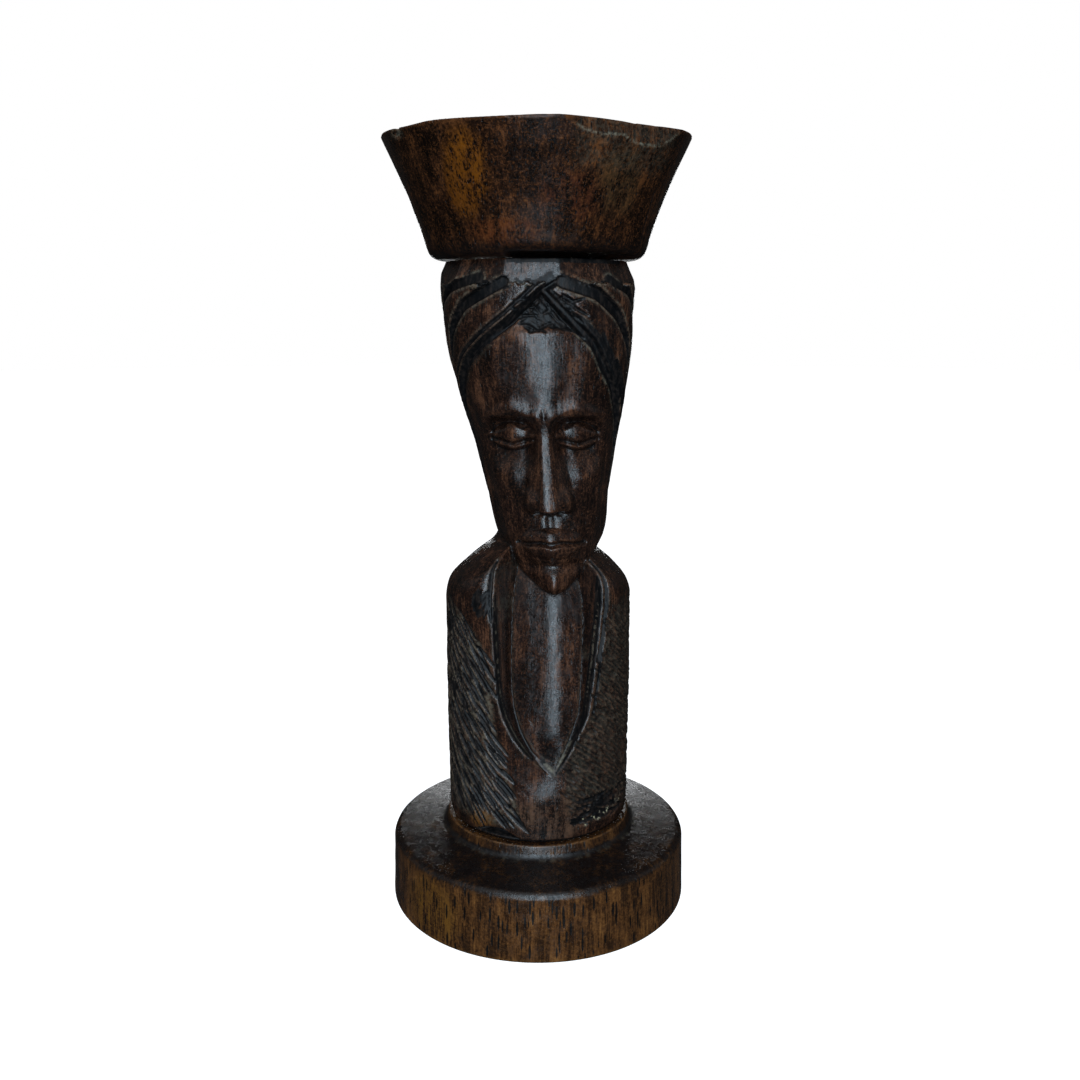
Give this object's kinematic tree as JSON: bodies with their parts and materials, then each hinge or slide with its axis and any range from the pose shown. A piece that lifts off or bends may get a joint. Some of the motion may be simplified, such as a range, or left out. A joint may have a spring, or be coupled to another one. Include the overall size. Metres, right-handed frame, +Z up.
{
  "type": "carved head ornament",
  "caption": "Carved hardwood bust of a woman in a headwrap who carries a flared open bowl on her head, on a round turned plinth.",
  "frame": {"origin": "centre of the plinth's underside, on the surface it stands on", "axes": "+Z up through plinth, figure and bowl; the face looks along -Y; +X is towards the figure's left shoulder"},
  "size_m": [0.0808, 0.0808, 0.2],
  "materials": {
    "turned_wood": "dark oiled hardwood, turned and polished to a satin",
    "carved_wood": "dark oiled hardwood, knife cut and chisel marked, satin",
    "dowel_wood": "bare hardwood dowel, unpolished"
  },
  "bodies": {
    "root": {"plinth": "turned_wood", "plinth_dowel": "dowel_wood", "figure": "carved_wood", "bowl_dowel": "dowel_wood", "bowl": "turned_wood"}
  },
  "joints": []
}
